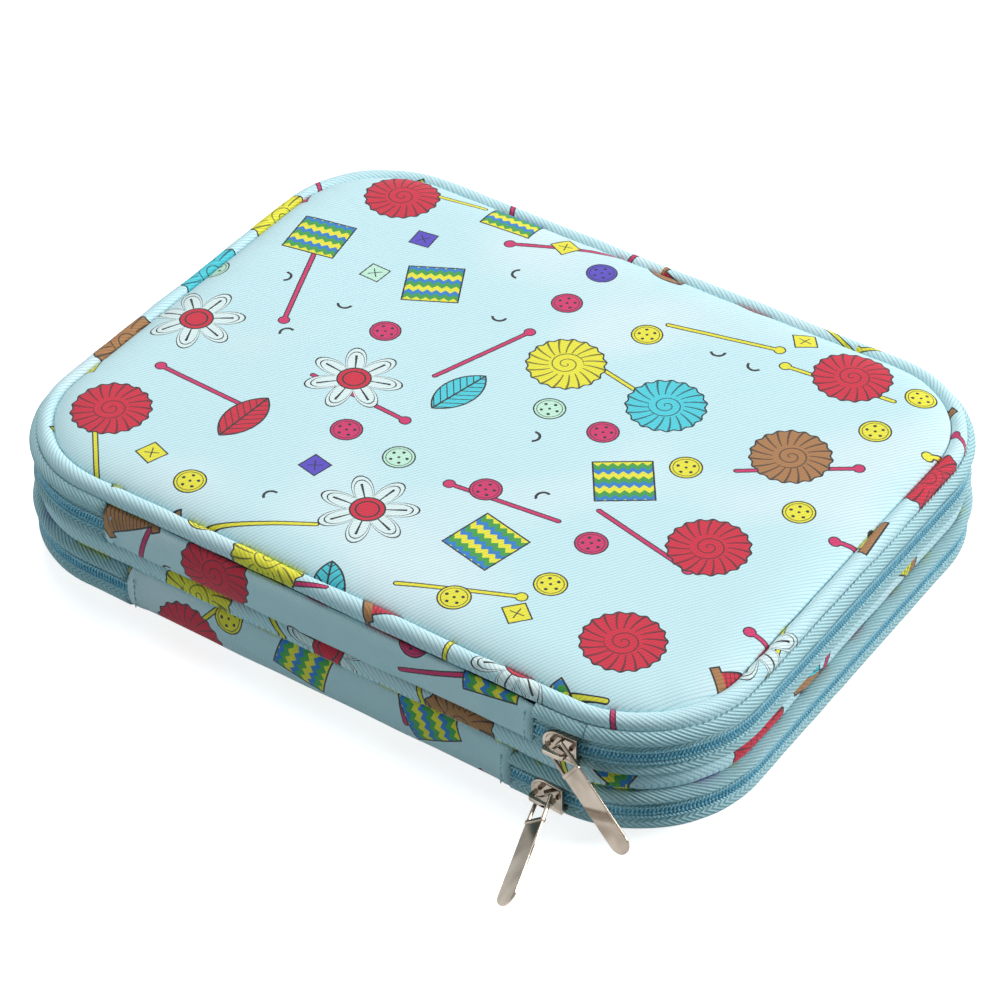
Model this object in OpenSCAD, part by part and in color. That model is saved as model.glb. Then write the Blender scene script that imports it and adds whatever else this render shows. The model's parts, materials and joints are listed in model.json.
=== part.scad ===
/* [Case] */
// Length along the spine, between the outer faces at the top seam
case_length = 235; // [215:1:260]
// Width from the spine to the back, between the outer faces at the top seam
case_width = 179; // [165:1:200]
// Corner radius of the outline at the top seam
corner_radius = 36; // [33:1:40]

/* [Layers] */
// Radius of the piping round the base
base_piping_radius = 2.5; // [2.3:0.1:2.5]
// Radius of the piping round the middle leaf
middle_piping_radius = 2.6; // [2.4:0.1:2.6]
// Radius of the piping round the lid
lid_piping_radius = 2.6; // [2.3:0.1:2.6]
// Height of each zip with the seams above and below it
zip_height = 13.5; // [13.4:0.1:14]
// Height that the padded lid rises above its piping
lid_crown = 2; // [1:0.1:3]
// Width of the curve along which the crown falls to its edge
crown_edge = 12; // [8:0.5:16]
// Thickness of each printed cover cloth
cover_thickness = 0.8; // [0.6:0.1:1]
// Thickness of the stiff board in each leaf
board_thickness = 1.4; // [1:0.1:1.4]
// Thickness of each lining cloth
lining_thickness = 0.6; // [0.4:0.1:0.6]
// Thickness of each piping's seam allowance, sewn in between the layers of its leaf
allowance_thickness = 0.6; // [0.4:0.1:0.6]

/* [Zips] */
// How far the upper zip stands out past the top seam
upper_zip_out = 1.1; // [0.6:0.1:1.4]
// How far the lower zip stands out past the top seam
lower_zip_out = 2; // [1.5:0.1:2]
// Straight run of the upper zip between its corner and the spine band's end
upper_zip_run = 9; // [8:0.5:14]
// Straight run of the lower zip between its corner and the spine band's end
lower_zip_run = 16; // [15:0.5:24]

/* [Sliders and pulls] */
// Length of a slider along its zip
slider_length = 10.5; // [9.5:0.1:10.5]
// Angle past the start of the corner at which the upper slider rests
upper_slider_at = 1; // [0:0.5:2]
// Angle past the start of the corner at which the lower slider rests
lower_slider_at = -4; // [-5:0.5:-3]
// Distance from a pull's hinge line to its round end
pull_length = 33; // [30:0.5:36]
// Width of a pull
pull_width = 7.6; // [7:0.1:8]
// Thickness of a pull's plate
pull_thickness = 1.2; // [1:0.1:1.6]
// Turn of the upper pull away from the run of its zip
upper_pull_turn = 34; // [31:0.5:34.5]
// Angle that the upper pull stands out from the side of the case
upper_pull_out = 13; // [12:0.5:14]
// Turn of the lower pull away from the run of its zip
lower_pull_turn = 48.5; // [46:0.5:50]
// Angle that the lower pull stands out from the side of the case
lower_pull_out = 64.5; // [64:0.5:67]

/* [Inside] */
// Width of each elastic band that holds the needles down
elastic_width = 30; // [20:1:40]
// Thickness of each elastic band
elastic_thickness = 1; // [0.8:0.1:1.2]
// Distance from the middle of the case to the middle of each elastic band
elastic_at = 55; // [40:1:65]
// Length of each elastic band, across the case
elastic_length = 140; // [100:1:145]
// Size of the slip pocket in the lid, along the case and across it
pocket_size = [170, 95]; // [80:1:180]

/* [Hidden] */
$fn = 64;

// The outline's corner centres, which every swept profile turns about. A profile's x is the
// distance outwards from them, and an "offset" is measured outwards from the top seam.
corner_x = case_length / 2 - corner_radius;
corner_y = case_width / 2 - corner_radius;
upper_spine_half = corner_x - upper_zip_run;
lower_spine_half = corner_x - lower_zip_run;

// Heights of the layers, from the surface that the case stands on
floor_gap = 0.3;
base_seam = floor_gap + base_piping_radius;
zip_seam_gap = 0.2;
lower_zip_z = base_seam + base_piping_radius + zip_seam_gap + zip_height / 2;
middle_seam = lower_zip_z + zip_height / 2 + zip_seam_gap + middle_piping_radius;
upper_zip_z = middle_seam + middle_piping_radius + zip_seam_gap + zip_height / 2;
lid_seam = upper_zip_z + zip_height / 2 - zip_seam_gap + lid_piping_radius;
half_allowance = allowance_thickness / 2;
lid_top = lid_seam + lid_piping_radius + lid_crown;

// Offsets of the middles of the three pipings, and of the leaves' edges inside them
base_piping_at = -2.4;
middle_piping_at = -1.2;
lid_piping_at = -2.2;
edge_gap = 0.1;
allowance_depth = 7;
base_edge = base_piping_at - base_piping_radius - edge_gap;
middle_edge = middle_piping_at - middle_piping_radius - edge_gap;
lid_edge = lid_piping_at - lid_piping_radius - edge_gap;

// One half of a zip, as heights above the line where its coils meet and offsets from its line
coil_bottom = 0.65;
coil_top = 2.75;
coil_face = 1;
coil_shoulder = 0.8;
tape_face = -1;
tape_back = -1.8;
ridge_bottom = 4.9;
ridge_top = 6.3;
ridge_face = 1.6;
ridge_radius = (ridge_top - ridge_bottom) / 2;

// The slider, as offsets from its zip's line
slider_half = 4.5;
plate_thickness = 1.1;
slider_gap = 0.5;
outer_plate = coil_face + slider_gap;
tape_gap = 0.9;
inner_plate = tape_back - tape_gap - plate_thickness;
flange_end = -0.6;
flange_inside = 3.3;
post_thickness = 0.7;
post_length = 3;
post_inset = 0.8;
outer_face = outer_plate + plate_thickness;
crown_length = 7;
crown_width = 1.3;
crown_post = 1;
crown_window = 2.7;
crown_bar = 1.3;

// Where each pull's eye passes under its crown: along the zip from the slider's middle, and how
// far the middle of the eye is from there, across the pull
upper_pivot_along = -0.5;
upper_eye_shift = 0.6;
lower_pivot_along = 0;
lower_eye_shift = 0.6;

// The pull, along its length from the middle of the bar that lies under the crown
pivot_out = outer_face + crown_window / 2;
eye_bar = 1.2;
eye_half = 3.5;
eye_rim = 1;
eye_round = 0.8;
eye_end = 7.7;
eye_thickness = 1.2;
eye_window_end = eye_end - 1.4;
step_overlap = 0.1;
step_length = 1;
step_thickness = pull_thickness + 0.4;

// Where the zips' ends that stay with the spine give way to the leaves' own zips
end_gap = 0.5;
slider_turn = 9.5;
upper_end_angle = upper_slider_at + slider_turn;
lower_end_angle = lower_slider_at + slider_turn;
spine_end_gap = 0.3;

spine_thickness = 2;
spine_offset = -0.6;

// Puts its children at one corner's centre: 0 front right, 1 back right, 2 back left, 3 front left
module at_corner(n) {
    x = n < 2 ? corner_x : -corner_x;
    y = (n == 1 || n == 2) ? corner_y : -corner_y;
    translate([x, y, 0]) rotate([0, 0, 90 * n - 90]) children();
}

// Turns a profile round one corner, between two angles
module round_corner(n, from = 0, to = 90) {
    at_corner(n) rotate([0, 0, from]) rotate_extrude(angle = to - from) children();
}

// Runs a profile along the straight side that follows one corner
module along_side(n) {
    run = 2 * (n % 2 == 0 ? corner_y : corner_x);
    at_corner(n) translate([-run, 0, 0]) rotate([90, 0, 90]) linear_extrude(run) children();
}

// Runs a profile along the spine side between two places
module along_front(from, to) {
    translate([to, -corner_y, 0]) rotate([90, 0, -90]) linear_extrude(to - from) children();
}

// Runs a profile all round the outline
module all_round() {
    for (n = [0:3]) {
        round_corner(n) children();
        along_side(n) children();
    }
}

// Runs a profile round the three zipped sides: all round, less a stretch of the spine side that
// starts at the left end and stops at a line through (right_x, -corner_y), turned by an angle
module zip_round(left_end, right_x, angle = 0) {
    reach = 2 * corner_radius;
    difference() {
        all_round() children();
        linear_extrude(lid_top) polygon([[-left_end, -corner_y], [-left_end, -corner_y - reach],
            [right_x + reach * tan(angle), -corner_y - reach], [right_x, -corner_y]]);
    }
}

// Runs a profile from the spine side at the right to an angle of the front right corner
module zip_end(end, end_angle) {
    along_front(end, corner_x) children();
    round_corner(0, 0, end_angle) children();
}

// The outline at an offset, as a flat shape
module outline(offset) {
    r = corner_radius + offset;
    square([2 * corner_x, 2 * (corner_y + r)], center = true);
    square([2 * (corner_x + r), 2 * corner_y], center = true);
    for (x = [-corner_x, corner_x], y = [-corner_y, corner_y]) translate([x, y]) circle(r);
}

// A flat layer between two heights
module layer(offset, bottom, top) {
    translate([0, 0, bottom]) linear_extrude(top - bottom) outline(offset);
}

// A piping: a round cord in its cloth, with the seam allowance sewn into the leaf
module piping(seam, at, radius) {
    all_round() {
        translate([corner_radius + at, seam]) circle(radius);
        translate([corner_radius + at - radius - allowance_depth, seam - half_allowance])
            square([radius + allowance_depth, allowance_thickness]);
    }
}

// The crown's curve over a leaf's edge, as points from the edge inwards
function crown_curve(edge, width, bottom, height, steps = 6) =
    [for (i = [0:steps]) let (t = 90 * i / steps)
        [corner_radius + edge - width * (1 - cos(t)), bottom + height * sin(t)]];

// A domed layer between a bottom curve and a top curve, all round and across the middle
module domed(top_curve, bottom_curve) {
    last = len(top_curve) - 1;
    top = top_curve[last][1];
    bottom = bottom_curve[len(bottom_curve) - 1][1];
    back = [for (i = [len(bottom_curve) - 1:-1:0]) bottom_curve[i]];
    all_round() polygon(concat(top_curve, [[0, top], [0, bottom]], back));
    translate([-corner_x, -corner_y, bottom]) cube([2 * corner_x, 2 * corner_y, top - bottom]);
}

// One half of a zip's tape: the web behind the coil and the folded ridge beside it
module tape_profile(out) {
    translate([corner_radius + out, 0]) {
        translate([tape_back, coil_bottom]) square([tape_face - tape_back, ridge_top - coil_bottom]);
        translate([tape_back, ridge_bottom])
            square([ridge_face - ridge_radius - tape_back, ridge_top - ridge_bottom]);
        translate([ridge_face - ridge_radius, (ridge_bottom + ridge_top) / 2]) circle(ridge_radius);
    }
}

// The base's half of a zip's tape: its edge turns in under the case to the base's piping
module turned_tape_profile(out, piping_at) {
    tape_profile(out);
    translate([corner_radius + piping_at, ridge_bottom])
        square([out + tape_back - piping_at, ridge_top - ridge_bottom]);
}

// One half of a zip's chain: the nylon coil sewn to the face of its tape
module coil_profile(out) {
    translate([corner_radius + out, 0]) {
        translate([tape_face, coil_bottom]) square([coil_shoulder, coil_top - coil_bottom]);
        translate([tape_face + coil_shoulder, (coil_bottom + coil_top) / 2])
            intersection() {
                circle(coil_face - tape_face - coil_shoulder);
                translate([0, -coil_top]) square([coil_top, 2 * coil_top]);
            }
    }
}

// Lifts a half zip's profile above the line where the coils meet, or turns it over below it
module upper_half(z) { translate([0, z]) children(); }
module lower_half(z) { translate([0, z]) mirror([0, 1]) children(); }

// A spine band: the printed cloth that closes the spine side beside one zip
module spine_band(z, out, half) {
    height = 2 * ridge_top;
    top_end = z + height / 2 - spine_thickness / 2;
    bottom_end = z - height / 2 + spine_thickness / 2;
    along_front(-half, half) translate([corner_radius + out + spine_offset, 0]) {
        translate([-spine_thickness / 2, bottom_end]) square([spine_thickness, top_end - bottom_end]);
        for (end = [bottom_end, top_end]) translate([0, end]) circle(spine_thickness / 2);
    }
}

// An elastic band across a leaf, sewn down on its lining
module elastic(x, lining_top) {
    translate([x - elastic_width / 2, -elastic_length / 2, lining_top])
        cube([elastic_width, elastic_length, elastic_thickness]);
}

// Puts its children on a slider's place: x along the zip, -y outwards, z up
module at_slider(angle, z, out) {
    at_corner(0) rotate([0, 0, 90 + angle]) translate([0, -corner_radius - out, z]) children();
}

// Stands a flat shape up, facing outwards, from an offset outwards
module facing_out(from, thickness) {
    translate([0, -from, 0]) rotate([90, 0, 0]) linear_extrude(thickness) children();
}

// The outline of a slider's plates, round at the nose and square at the tail
module plate_outline() {
    nose_at = slider_half - slider_length / 2;
    translate([nose_at, 0]) circle(slider_half);
    translate([nose_at, -slider_half]) square([slider_length / 2 - nose_at, 2 * slider_half]);
}

// A slider's body: two plates joined by the post between the coils, with side flanges
module slider_body(angle, z, out) {
    at_slider(angle, z, out) {
        facing_out(outer_plate, plate_thickness) plate_outline();
        facing_out(inner_plate, plate_thickness) plate_outline();
        facing_out(inner_plate, outer_face - inner_plate)
            translate([post_inset - slider_length / 2, -post_thickness / 2])
                square([post_length, post_thickness]);
        for (side = [-1, 1]) facing_out(flange_end, outer_face - flange_end)
            translate([0, side > 0 ? flange_inside : -slider_half])
                square([slider_length / 2, slider_half - flange_inside]);
    }
}

// A slider's crown: the arch over its face that holds the pull
module slider_crown(angle, z, out) {
    height = crown_window + crown_bar;
    half = crown_length / 2;
    at_slider(angle, z, out) translate([0, -outer_face, -crown_width / 2]) mirror([0, 1, 0])
        linear_extrude(crown_width) difference() {
            union() {
                translate([-half, 0]) square([crown_length, height - crown_bar]);
                translate([crown_bar - half, 0]) square([crown_length - 2 * crown_bar, height]);
                for (side = [-1, 1]) translate([side * (half - crown_bar), height - crown_bar])
                    circle(crown_bar);
            }
            translate([crown_post - half, 0]) square([crown_length - 2 * crown_post, crown_window]);
        }
}

// A pull's shape, flat: the eye's loop, the step and the plate
module pull_shape() {
    half = pull_width / 2;
    end_at = pull_length - half;
    window_at = eye_bar / 2 + eye_round;
    translate([0, 0, -eye_thickness / 2]) linear_extrude(eye_thickness) difference() {
        hull() {
            for (side = [-1, 1]) translate([eye_round - eye_bar / 2, side * (eye_half - eye_round)])
                circle(eye_round);
            translate([eye_end - step_length, -half]) square([step_length, pull_width]);
        }
        hull() for (side = [-1, 1]) {
            translate([window_at, side * (eye_half - eye_rim - eye_round)]) circle(eye_round);
            translate([eye_window_end - eye_round, side * (half - eye_rim - eye_round)])
                circle(eye_round);
        }
    }
    translate([eye_end - step_overlap, -half, -step_thickness / 2])
        cube([step_length, pull_width, step_thickness]);
    translate([eye_end, 0, -pull_thickness / 2]) linear_extrude(pull_thickness) {
        translate([0, -half]) square([end_at - eye_end, pull_width]);
        translate([end_at - eye_end, 0]) circle(half);
    }
}

// A pull on its slider, turned off the zip's run and swung outwards about its eye's bar
module pull(angle, z, out, along, shift, turn, swing) {
    at_slider(angle, z, out) translate([along, -pivot_out, 0]) rotate([0, turn, 0])
        rotate([0, 0, -swing]) rotate([90, 0, 0]) translate([0, shift, 0]) pull_shape();
}

// Base: the leaf that the case stands on
base_layers = base_seam - half_allowance;
base_lining_bottom = base_seam + half_allowance + board_thickness;
base_lining_top = base_lining_bottom + lining_thickness;

module base_cover() {
    color("#CFEFF5") layer(base_edge, 0, cover_thickness);
}

module base_padding() {
    color("#F2F2EC") {
        layer(base_edge, cover_thickness, base_layers);
        layer(base_edge - allowance_depth, base_layers, base_seam + half_allowance);
    }
}

module base_board() {
    color("#D8D4C8") layer(base_edge, base_seam + half_allowance, base_lining_bottom);
}

module base_lining() {
    color("#9FD3DF") layer(base_edge, base_lining_bottom, base_lining_top);
}

module base_piping() {
    color("#B5E3F0") piping(base_seam, base_piping_at, base_piping_radius);
}

module base_elastic_left() { color("#F4F4F4") elastic(-elastic_at, base_lining_top); }
module base_elastic_right() { color("#F4F4F4") elastic(elastic_at, base_lining_top); }

module lower_spine_band() {
    color("#B5E3F0") spine_band(lower_zip_z, lower_zip_out, lower_spine_half);
}

// Lower zip: one half on the base, the other on the middle leaf
lower_zip_end = lower_spine_half + spine_end_gap;

module lower_zip_base_tape() {
    color("#8FC8D6") zip_round(lower_zip_end, lower_zip_end)
        lower_half(lower_zip_z) turned_tape_profile(lower_zip_out, base_piping_at);
}

module lower_zip_base_coil() {
    color("#2F7690") zip_round(lower_zip_end, lower_zip_end)
        lower_half(lower_zip_z) coil_profile(lower_zip_out);
}

module lower_zip_end_tape() {
    color("#8FC8D6") zip_end(lower_zip_end, lower_end_angle)
        upper_half(lower_zip_z) tape_profile(lower_zip_out);
}

module lower_zip_end_coil() {
    color("#2F7690") zip_end(lower_zip_end, lower_end_angle)
        upper_half(lower_zip_z) coil_profile(lower_zip_out);
}

module lower_zip_middle_tape() {
    color("#8FC8D6") zip_round(lower_zip_end, corner_x, lower_end_angle + end_gap)
        upper_half(lower_zip_z) tape_profile(lower_zip_out);
}

module lower_zip_middle_coil() {
    color("#2F7690") zip_round(lower_zip_end, corner_x, lower_end_angle + end_gap)
        upper_half(lower_zip_z) coil_profile(lower_zip_out);
}

// Middle leaf: it closes the lower compartment and carries the upper one
middle_board_bottom = middle_seam - half_allowance - board_thickness;
middle_lining_bottom_z = middle_board_bottom - lining_thickness;
middle_foam = 1;
middle_padding_top = middle_seam + half_allowance + middle_foam;
middle_lining_top_z = middle_padding_top + lining_thickness;

module middle_lining_bottom() {
    color("#9FD3DF") layer(middle_edge, middle_lining_bottom_z, middle_board_bottom);
}

module middle_board() {
    color("#D8D4C8") layer(middle_edge, middle_board_bottom, middle_seam - half_allowance);
}

module middle_padding() {
    color("#F2F2EC") {
        layer(middle_edge, middle_seam + half_allowance, middle_padding_top);
        layer(middle_edge - allowance_depth, middle_seam - half_allowance, middle_seam + half_allowance);
    }
}

module middle_lining_top() {
    color("#9FD3DF") layer(middle_edge, middle_padding_top, middle_lining_top_z);
}

module middle_piping() {
    color("#B5E3F0") piping(middle_seam, middle_piping_at, middle_piping_radius);
}

module middle_elastic_left() { color("#F4F4F4") elastic(-elastic_at, middle_lining_top_z); }
module middle_elastic_right() { color("#F4F4F4") elastic(elastic_at, middle_lining_top_z); }

module upper_spine_band() {
    color("#B5E3F0") spine_band(upper_zip_z, upper_zip_out, upper_spine_half);
}

// Upper zip: one half on the middle leaf, the other on the lid
upper_zip_end = upper_spine_half + spine_end_gap;

module upper_zip_middle_tape() {
    color("#8FC8D6") zip_round(upper_zip_end, upper_zip_end)
        lower_half(upper_zip_z) tape_profile(upper_zip_out);
}

module upper_zip_middle_coil() {
    color("#2F7690") zip_round(upper_zip_end, upper_zip_end)
        lower_half(upper_zip_z) coil_profile(upper_zip_out);
}

module upper_zip_end_tape() {
    color("#8FC8D6") zip_end(upper_zip_end, upper_end_angle)
        upper_half(upper_zip_z) tape_profile(upper_zip_out);
}

module upper_zip_end_coil() {
    color("#2F7690") zip_end(upper_zip_end, upper_end_angle)
        upper_half(upper_zip_z) coil_profile(upper_zip_out);
}

module upper_zip_lid_tape() {
    color("#8FC8D6") zip_round(upper_zip_end, corner_x, upper_end_angle + end_gap)
        upper_half(upper_zip_z) tape_profile(upper_zip_out);
}

module upper_zip_lid_coil() {
    color("#2F7690") zip_round(upper_zip_end, corner_x, upper_end_angle + end_gap)
        upper_half(upper_zip_z) coil_profile(upper_zip_out);
}

// Lid: the padded leaf on top
lid_board_bottom = lid_seam - half_allowance - board_thickness;
lid_lining_bottom = lid_board_bottom - lining_thickness;
lid_cover_bottom = lid_seam + half_allowance;
lid_dome = lid_top - lid_cover_bottom;
lid_cover_outside = crown_curve(lid_edge, crown_edge, lid_cover_bottom, lid_dome);
lid_cover_inside = crown_curve(lid_edge - cover_thickness, crown_edge, lid_cover_bottom,
    lid_dome - cover_thickness);

module lid_lining() {
    color("#9FD3DF") layer(lid_edge, lid_lining_bottom, lid_board_bottom);
}

module lid_pocket() {
    color("#9FD3DF") translate([-pocket_size[0] / 2, -pocket_size[1] / 2, lid_lining_bottom - lining_thickness])
        cube([pocket_size[0], pocket_size[1], lining_thickness]);
}

module lid_board() {
    color("#D8D4C8") layer(lid_edge, lid_board_bottom, lid_seam - half_allowance);
}

module lid_padding() {
    color("#F2F2EC") {
        domed(lid_cover_inside, [[corner_radius + lid_edge - cover_thickness, lid_cover_bottom]]);
        layer(lid_edge - allowance_depth, lid_seam - half_allowance, lid_cover_bottom);
    }
}

module lid_cover() {
    color("#DDF4F9") domed(lid_cover_outside, lid_cover_inside);
}

module lid_piping() {
    color("#B5E3F0") piping(lid_seam, lid_piping_at, lid_piping_radius);
}

// Sliders and pulls
module lower_slider_body() {
    color("#B8B4AC") slider_body(lower_slider_at, lower_zip_z, lower_zip_out);
}

module lower_slider_crown() {
    color("#B8B4AC") slider_crown(lower_slider_at, lower_zip_z, lower_zip_out);
}

module lower_pull() {
    color("#B8B4AC")
        pull(lower_slider_at, lower_zip_z, lower_zip_out, lower_pivot_along, lower_eye_shift,
            lower_pull_turn, lower_pull_out);
}

module upper_slider_body() {
    color("#B8B4AC") slider_body(upper_slider_at, upper_zip_z, upper_zip_out);
}

module upper_slider_crown() {
    color("#B8B4AC") slider_crown(upper_slider_at, upper_zip_z, upper_zip_out);
}

module upper_pull() {
    color("#B8B4AC")
        pull(upper_slider_at, upper_zip_z, upper_zip_out, upper_pivot_along, upper_eye_shift,
            upper_pull_turn, upper_pull_out);
}

base_cover();
base_padding();
base_board();
base_lining();
base_piping();
base_elastic_left();
base_elastic_right();
lower_spine_band();
lower_zip_base_tape();
lower_zip_base_coil();
lower_zip_end_tape();
lower_zip_end_coil();
lower_zip_middle_tape();
lower_zip_middle_coil();
middle_lining_bottom();
middle_board();
middle_padding();
middle_lining_top();
middle_piping();
middle_elastic_left();
middle_elastic_right();
upper_spine_band();
upper_zip_middle_tape();
upper_zip_middle_coil();
upper_zip_end_tape();
upper_zip_end_coil();
upper_zip_lid_tape();
upper_zip_lid_coil();
lid_lining();
lid_pocket();
lid_board();
lid_padding();
lid_cover();
lid_piping();
lower_slider_body();
lower_slider_crown();
lower_pull();
upper_slider_body();
upper_slider_crown();
upper_pull();
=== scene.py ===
"""Soft two-layer needle case: cloth panels, piping, zips, sliders, linings and stage."""

import json
import math

import bmesh
import bpy
from mathutils import Matrix, Vector, noise
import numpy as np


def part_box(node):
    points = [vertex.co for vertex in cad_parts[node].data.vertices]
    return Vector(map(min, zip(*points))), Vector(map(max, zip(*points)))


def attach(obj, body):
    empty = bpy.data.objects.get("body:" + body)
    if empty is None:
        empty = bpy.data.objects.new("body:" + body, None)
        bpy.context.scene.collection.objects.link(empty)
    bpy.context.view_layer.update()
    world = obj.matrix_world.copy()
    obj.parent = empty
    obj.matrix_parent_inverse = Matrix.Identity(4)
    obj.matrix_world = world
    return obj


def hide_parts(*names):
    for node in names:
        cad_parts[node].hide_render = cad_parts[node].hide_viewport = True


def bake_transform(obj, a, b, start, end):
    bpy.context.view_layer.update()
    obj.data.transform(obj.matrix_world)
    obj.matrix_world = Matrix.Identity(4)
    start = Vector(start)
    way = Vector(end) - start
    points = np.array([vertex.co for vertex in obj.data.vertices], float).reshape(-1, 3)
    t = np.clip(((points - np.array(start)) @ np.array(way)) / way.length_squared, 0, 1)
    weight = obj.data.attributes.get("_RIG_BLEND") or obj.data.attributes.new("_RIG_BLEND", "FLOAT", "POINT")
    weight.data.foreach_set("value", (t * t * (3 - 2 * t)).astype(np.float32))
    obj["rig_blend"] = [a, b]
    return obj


bl_info = {
    "name": "Needle Case",
    "version": (1, 0, 0),
    "blender": (4, 5, 0),
    "location": "View3D > Sidebar > Needle Case",
    "description": "Dresses the needle case's frame in cloth, zips and metal",
    "category": "Add Mesh",
}

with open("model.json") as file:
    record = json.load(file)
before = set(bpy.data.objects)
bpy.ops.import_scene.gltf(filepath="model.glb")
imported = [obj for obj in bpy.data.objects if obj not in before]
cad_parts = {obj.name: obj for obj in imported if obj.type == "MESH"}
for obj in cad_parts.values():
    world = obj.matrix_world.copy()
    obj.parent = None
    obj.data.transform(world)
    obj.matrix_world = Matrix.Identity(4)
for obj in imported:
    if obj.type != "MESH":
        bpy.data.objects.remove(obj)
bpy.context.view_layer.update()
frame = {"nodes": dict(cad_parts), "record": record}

MM = 0.001
JOINTS = {joint["name"]: joint for joint in frame["record"]["behaviour"]["joints"]}
SLOTS = {part["node"]: part["material_slot"] for part in frame["record"]["subparts"]}


def body_of_node(node):
    """The name of the body that a CAD node is in."""
    bodies = frame["record"]["behaviour"]["bodies"]
    return next(name for name, nodes in bodies.items() if node in nodes)


# ---- Sizes read from the frame ----
# A "reach" is the distance outwards from the rectangle through the four corner centres.

CORNER_X = abs(JOINTS["lower_slider_run"]["pos_m"][0])
CORNER_Y = abs(JOINTS["lower_slider_run"]["pos_m"][1])
LOWER_ZIP_Z = JOINTS["lower_slider_run"]["pos_m"][2]
UPPER_ZIP_Z = JOINTS["upper_slider_run"]["pos_m"][2]
CORNER_RADIUS = 36 * MM
COIL_FACE = 1 * MM
# Length of one step of a swept shape, and the distance within which its points are joined
STEP = 2.5 * MM
WELD = 1e-6


def reach(node):
    """How far a node reaches outwards from the corner centres."""
    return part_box(node)[1][0] - CORNER_X


def roll(node):
    """A piping roll's reach to its middle, its height and its radius."""
    low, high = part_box(node)
    radius = (high[2] - low[2]) / 2
    return reach(node) - radius, (high[2] + low[2]) / 2, radius


UPPER_LINE = reach("upper_zip_lid_coil") - COIL_FACE
LOWER_LINE = reach("lower_zip_base_coil") - COIL_FACE

# The outline as half sides and corners, in order from the middle of the spine side: each one's
# length, and its direction or its corner's centre.
TURN = CORNER_RADIUS * math.pi / 2
RUNS = [
    (CORNER_X, (1, 0), None), (TURN, None, (CORNER_X, -CORNER_Y)), (CORNER_Y, (0, 1), None),
    (CORNER_Y, (0, 1), None), (TURN, None, (CORNER_X, CORNER_Y)), (CORNER_X, (-1, 0), None),
    (CORNER_X, (-1, 0), None), (TURN, None, (-CORNER_X, CORNER_Y)), (CORNER_Y, (0, -1), None),
    (CORNER_Y, (0, -1), None), (TURN, None, (-CORNER_X, -CORNER_Y)), (CORNER_X, (1, 0), None),
]
PERIMETER = sum(length for length, _, _ in RUNS)


def outline_runs():
    """Where each run starts and ends, from half the spine side before the middle."""
    at = 0.0
    found = [(-CORNER_X, 0.0, (1, 0), None)]
    for length, direction, centre in RUNS:
        found.append((at, at + length, direction, centre))
        at += length
    return found


def place_on_outline(at):
    """The frame at a place on the corner rectangle: x along the outline, y outwards, z up."""
    at = at % PERIMETER
    corner = Vector((0, -CORNER_Y, 0))
    heading = 0.0
    for length, direction, centre in RUNS:
        part = min(at, length)
        if direction:
            corner += Vector((*direction, 0)) * part
        else:
            heading += part / CORNER_RADIUS
        at -= part
        if at <= 0:
            break
    turn = Matrix.Rotation(heading, 4, "Z")
    flip = Matrix(((1, 0, 0, 0), (0, -1, 0, 0), (0, 0, 1, 0), (0, 0, 0, 1)))
    return Matrix.Translation(corner) @ turn @ flip


def along_outline(x, y):
    """Distance along the outline from the middle of the spine side, negative to the left."""
    if y <= -CORNER_Y and abs(x) <= CORNER_X:
        return x
    side = 1 if x > 0 else -1
    x = abs(x)
    if y < -CORNER_Y:
        return side * (CORNER_X + CORNER_RADIUS * math.atan2(x - CORNER_X, -CORNER_Y - y))
    if y <= CORNER_Y:
        return side * (CORNER_X + TURN + y + CORNER_Y)
    start = CORNER_X + TURN + 2 * CORNER_Y
    if x > CORNER_X:
        return side * (start + CORNER_RADIUS * math.atan2(y - CORNER_Y, x - CORNER_X))
    return side * (start + TURN + CORNER_X - x)


# ---- Sizes and colours that a user may change ----


def linear(hex_digits):
    """An sRGB hex colour as linear RGBA."""
    parts = [int(hex_digits[i:i + 2], 16) / 255 for i in (1, 3, 5)]
    return (*[c / 12.92 if c <= 0.04045 else ((c + 0.055) / 1.055) ** 2.4 for c in parts], 1.0)


def length_property(name, description, value):
    """A length that a user may change, in metres."""
    return bpy.props.FloatProperty(name=name, description=description, default=value, min=0,
                                   unit="LENGTH", precision=5)


def colour_property(name, description, hex_digits):
    """A colour that a user may change."""
    return bpy.props.FloatVectorProperty(name=name, description=description, size=4, min=0, max=1,
                                         subtype="COLOR", default=linear(hex_digits))


class NeedleCaseSizes(bpy.types.PropertyGroup):
    """Sizes of the cloth, the print and the zips."""

    rib_pitch: length_property("Twill rib", "Spacing of the twill's ribs", 0.95 * MM)
    motif_spacing: length_property("Motifs", "Spacing of the print's large motifs", 44 * MM)
    seam_pucker: length_property("Pucker", "Height of the puckers beside the seams", 0.22 * MM)
    coil_pitch: length_property("Coil", "Spacing of the turns of the zips' coils", 1.05 * MM)
    stitch_pitch: length_property("Stitch", "Spacing of the stitches along the zips", 1.0 * MM)
    loop_width: length_property("Loops", "Width of the elastic bands' sewn loops", 14 * MM)


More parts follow.
